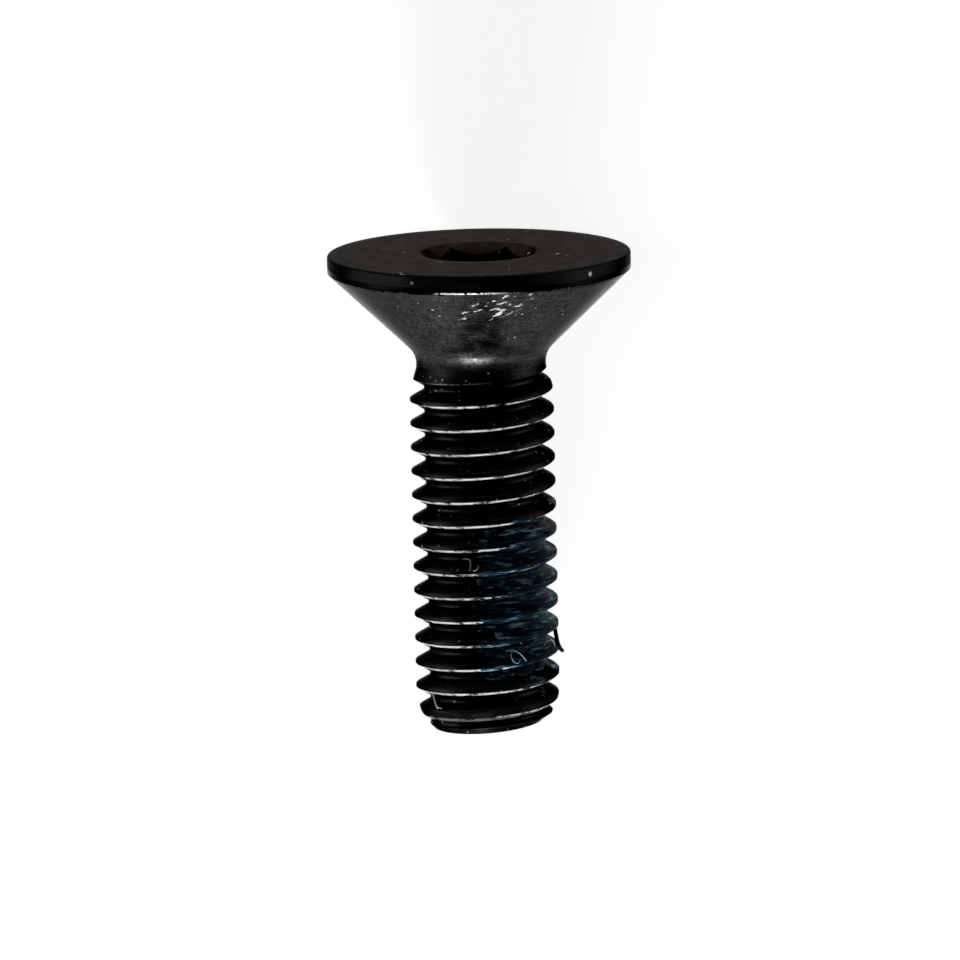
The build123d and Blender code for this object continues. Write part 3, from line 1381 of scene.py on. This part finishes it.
@dataclass(frozen=True)
class Shred:
    """A torn thread of nylon that lies on the screw, as one cubic curve.

    Each of its four control points is a place across the screw and a depth under the head's
    flat, on the side that faces up, with its distance from the axis, all in millimetres.
    """

    name: str
    nylon: TornNylon
    thickness: float
    points: tuple[Point, ...]
    steps: int = 18
    sides: int = 8
    taper: float = 0.7
    weld: float = 0.0001

    def mesh(self) -> bpy.types.Mesh:
        """Build the shred.

        Returns:
            A closed round thread, thinner at its ends, in the screw's own axes.
        """
        names = ("Start", "Start Handle", "End Handle", "End")
        places = [(x, -math.sqrt(max(r * r - x * x, 0.0)), -depth) for x, depth, r in self.points]
        ends = dict(zip(names, places))
        recipe = Recipe("Shred", {**ends, "Thickness": self.thickness, "Steps": self.steps})
        rule = recipe.rule
        values = {"Resolution": rule["Steps"], **{name: rule[name] for name in names}}
        curve = rule.add("GeometryNodeCurvePrimitiveBezierSegment", values)
        rule["run"] = rule.add("GeometryNodeSplineParameter").outputs["Factor"]
        rule.work_out(
            ("off", "SUBTRACT", "run", 0.5),
            ("apart", "ABSOLUTE", "off"),
            ("reach", "MULTIPLY", "apart", 2.0),
            ("cubed", "POWER", "reach", 3.0),
            ("lost", "MULTIPLY", "cubed", self.taper),
            ("kept", "SUBTRACT", 1.0, "lost"),
            ("half", "MULTIPLY", "Thickness", 0.5),
            ("radius", "MULTIPLY", "kept", "half"),
        )
        values = {"Resolution": self.sides, "Radius": 1.0}
        ring = rule.add("GeometryNodeCurvePrimitiveCircle", values)
        values = {"Curve": curve, "Profile Curve": ring, "Scale": rule["radius"], "Fill Caps": True}
        tube = rule.add("GeometryNodeCurveToMesh", values)
        return smoothed(recipe.close(tube, self.weld))


SHREDS = (
    Shred("shred_at_end", STRETCHED, 0.24, (
        (-2.42, 17.98, 2.84), (-2.20, 18.08, 2.90), (-2.26, 18.44, 2.92), (-2.08, 18.72, 2.88))),
    Shred("shred_at_end_fork", STRETCHED, 0.15, (
        (-2.16, 18.56, 2.92), (-2.12, 18.64, 2.94), (-2.04, 18.66, 2.92), (-1.93, 18.68, 2.88))),
    Shred("hook_bar", DUSTY, 0.15, (
        (-0.90, 12.36, 2.62), (-0.78, 12.33, 2.66), (-0.66, 12.34, 2.70), (-0.62, 12.42, 2.76))),
    Shred("hook_drop", DUSTY, 0.14, (
        (-0.64, 12.36, 2.72), (-0.58, 12.50, 2.84), (-0.62, 12.62, 2.96), (-0.64, 12.76, 3.02))),
    Shred("hook_chip", DUSTY, 0.12, (
        (-0.50, 12.74, 3.00), (-0.42, 12.80, 3.02), (-0.32, 12.74, 3.01), (-0.28, 12.56, 2.94))),
    Shred("curl_long", TORN_BLUE, 0.15, (
        (0.76, 16.22, 2.78), (1.10, 16.14, 2.86), (1.36, 16.26, 3.00), (1.60, 16.66, 3.04))),
    Shred("curl_loop", TORN_BLUE, 0.12, (
        (1.02, 16.24, 2.88), (0.86, 16.56, 3.04), (1.30, 16.92, 3.06), (1.34, 16.58, 3.04))),
    Shred("curl_side", TORN_BLUE, 0.14, (
        (2.34, 16.22, 2.90), (2.48, 15.92, 2.98), (2.80, 15.96, 3.02), (2.80, 16.40, 3.03))),
    Shred("sliver", THICK_BLUE, 0.60, (
        (2.76, 15.66, 2.70), (2.90, 16.00, 2.80), (2.84, 16.45, 2.90), (3.11, 16.78, 3.00))),
    Shred("grain", DUSTY, 0.14, (
        (1.36, 15.92, 2.78), (1.39, 15.95, 2.80), (1.41, 15.97, 2.80), (1.43, 15.99, 2.80))),
)


@dataclass(frozen=True)
class Lamp:
    """A square soft box that faces the screw."""

    name: str
    place: Point
    side: float
    power: float

    def build(self) -> None:
        """Hang the lamp and turn it towards the middle of the screw."""
        data = bpy.data.lights.new(self.name, "AREA")
        data.shape = "SQUARE"
        data.size = self.side
        data.energy = self.power
        lamp = bpy.data.objects.new(self.name, data)
        lamp.location = self.place
        lamp.rotation_euler = (-Vector(self.place)).to_track_quat("-Z", "Y").to_euler()
        bpy.context.scene.collection.objects.link(lamp)


@dataclass(frozen=True)
class Studio:
    """A pale floor, soft lamps and a white surround with a dark ceiling."""

    lamps: tuple[Lamp, ...] = (
        Lamp("tip_side_lamp", (-0.36, 0.05, 0.03), 0.12, 1.9),
        Lamp("left_lamp", (0.00, 0.36, 0.10), 0.20, 0.30),
        Lamp("right_lamp", (0.00, -0.36, 0.10), 0.20, 0.15),
    )
    floor_half: float = 1.5
    floor_colour: str = "f2f2f2"
    floor_glow: float = 0.83
    surround: str = "c8c8c8"
    ceiling: str = "0a0a0b"
    ceiling_height: Span = (0.02, 0.28)

    def build(self) -> None:
        """Build the floor, the surround and the lamps."""
        self._floor()
        self._surround()
        for lamp in self.lamps:
            lamp.build()

    def _floor(self) -> None:
        """Lay pale card, which stays white to the camera and keeps the screw's shadow."""
        mesh = bpy.data.meshes.new("floor")
        h = self.floor_half
        mesh.from_pydata([(-h, -h, 0), (h, -h, 0), (h, h, 0), (-h, h, 0)], [], [(0, 1, 2, 3)])
        floor = bpy.data.objects.new("floor", mesh)
        bpy.context.scene.collection.objects.link(floor)
        material = new_surface("pale_card")
        rule = Rule(material.node_tree)
        path = rule.add("ShaderNodeLightPath")
        rule.update({name: path.outputs[f"Is {name} Ray"] for name in
                     ("Camera", "Glossy", "Transmission")})
        glow = rule.work_out(
            ("seen", "MAXIMUM", "Camera", "Glossy"),
            ("seen", "MAXIMUM", "seen", "Transmission"),
            ("glow", "MULTIPLY", "seen", self.floor_glow),
        )
        card = rule.add("ShaderNodeBsdfDiffuse", {"Color": linear(self.floor_colour)})
        white = rule.add("ShaderNodeEmission", {"Color": WHITE, "Strength": glow})
        both = rule.add("ShaderNodeAddShader", (card, white))
        rule.add("ShaderNodeOutputMaterial", {"Surface": both})
        mesh.materials.append(material)

    def _surround(self) -> None:
        """Give the world a white horizon and a dark ceiling."""
        world = bpy.data.worlds.new("surround")
        world.use_nodes = True
        world.node_tree.nodes.clear()
        rule = Rule(world.node_tree)
        direction = rule.add("ShaderNodeTexCoord").outputs["Generated"]
        rule["height"] = rule.add("ShaderNodeSeparateXYZ", (direction,)).outputs["Z"]
        colour = rule.work_out(
            ("share", "MAP", "height", *self.ceiling_height),
            ("colour", "MIX", "share", linear(self.surround), linear(self.ceiling)),
        )
        shade = rule.add("ShaderNodeBackground", {"Color": colour, "Strength": 1.0})
        rule.add("ShaderNodeOutputWorld", {"Surface": shade})
        bpy.context.scene.world = world


@dataclass(frozen=True)
class OverheadCamera:
    """A long lens straight above the screw, with the head at the top of the picture."""

    aim: Point = (0.000029, 0.000147, 0.003)
    distance: float = 0.429
    view_width: float = 0.03978
    roll: float = math.radians(1.223)
    sensor: float = 36.0
    clip: Span = (0.01, 20.0)

    def build(self) -> None:
        """Make the camera and give it to the scene."""
        data = bpy.data.cameras.new("overhead")
        data.sensor_width = self.sensor
        data.lens = self.sensor * self.distance / self.view_width
        data.clip_start, data.clip_end = self.clip
        camera = bpy.data.objects.new("overhead", data)
        up = Vector((math.cos(self.roll), -math.sin(self.roll), 0.0))
        back = Vector((0.0, 0.0, 1.0))
        turn = Matrix((up.cross(back), up, back)).transposed().to_4x4()
        camera.matrix_world = Matrix.Translation(Vector(self.aim) + back * self.distance) @ turn
        bpy.context.scene.collection.objects.link(camera)
        bpy.context.scene.camera = camera


class SocketScrew:
    """Builds and dresses every piece of the screw in its resting place."""

    FINISHES = {
        Region.FACE: BlackOxide(
            "oxide_upset_face", base="25201e", tone="3a3430", roughness=0.42, specks=0.30,
            edge="989391", grain_dark=0.7, grain_height_mm=0.008,
            marks=MarkDirection.ACROSS_FACE, marks_mm=0.06, marks_height_mm=0.003,
        ),
        Region.RIM: BlackOxide(
            "oxide_rim", base="161617", tone="202022", roughness=0.40, specks=0.30,
            edge="9a9a9c", wear_and_highlight=StruckRim(),
        ),
        Region.CONE: BlackOxide(
            "oxide_turned_cone", base="363637", tone="464647", roughness=0.19, specks=0.14,
            edge="b4b4b5", neck_rise=0.20, foot="1c1c1d", mottle_mm=0.5, speck_mm=0.07,
            grain_mm=0.08, grain_dark=0.8, grain_height_mm=0.003,
            marks=MarkDirection.ALONG_AXIS, marks_mm=0.045, marks_height_mm=0.0015,
            marks_light=0.30, wear_and_highlight=ScuffsAndEdgeHighlight(),
        ),
        # thread: its bright flank lines are painted highlight, given as bare steel
        Region.THREAD: BlackOxide(
            "oxide_rolled_thread", base="1e1c1b", tone="2c2a2a", roughness=0.34, specks=0.40,
            edge="58585a", grain_dark=0.5, speck_mm=0.06, wear_and_highlight=PaintedFlankHighlight(),
        ),
    }

    def __init__(self, record: dict) -> None:
        """Find the resting place and set up the sub-assemblies.

        Args:
            record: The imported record.
        """
        self.placement = Placement(record)
        sizes = ScrewSizes()
        rule = ThreadRule(sizes)
        winding = Winding(sizes, rule)
        self.group = rule.group()
        self.body = ScrewBody(sizes, HeadAndSocket(sizes), ThreadedShank(sizes, winding))
        self.film = LockingFilm(sizes, winding)

    def add_piece(
        self,
        name: str,
        mesh: bpy.types.Mesh,
        materials: Sequence[bpy.types.Material],
        nodes: Sequence[str] = (),
    ) -> None:
        """Put a finished mesh in its resting place, hang it on the root body and hide the CAD nodes
        it stands for.

        Args:
            name: The piece's name.
            mesh: Its mesh, in the screw's own axes and in millimetres.
            materials: Its finishes, by region.
            nodes: The CAD nodes that it stands for.
        """
        mesh.transform(self.placement.matrix)
        regions = [face.material_index for face in mesh.polygons]
        mesh.materials.clear()
        for material in materials:
            mesh.materials.append(material)
        mesh.polygons.foreach_set("material_index", regions)
        mesh.name = name
        piece = bpy.data.objects.new(name, mesh)
        bpy.context.scene.collection.objects.link(piece)
        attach(piece, "root")
        if nodes:
            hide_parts(*nodes)
        LOG.info("%s: %d faces", name, len(mesh.polygons))

    def build(self) -> None:
        """Build every piece, with the torn threads of nylon that cling to the screw."""
        finishes = [self.FINISHES[region].build(self.placement) for region in Region]
        body = self.body.mesh(self.group)
        self.add_piece("screw_body", body, finishes, ["screw"])
        film = [NylonFilm().build(self.placement)]
        self.add_piece(
            "nylon_film", self.film.mesh(self.group), film, ["locking_patch"]
        )
        nylons = {nylon: nylon.build() for nylon in (STRETCHED, DUSTY, TORN_BLUE, THICK_BLUE)}
        for shred in SHREDS:
            self.add_piece(shred.name, shred.mesh(), [nylons[shred.nylon]])


def main() -> None:
    """Build the studio and the screw."""
    logging.basicConfig(level=logging.INFO, format="%(name)s: %(message)s")
    bpy.context.scene.view_settings.view_transform = "Standard"
    OverheadCamera().build()
    Studio().build()
    SocketScrew(frame["record"]).build()


if __name__ == "__main__":
    main()
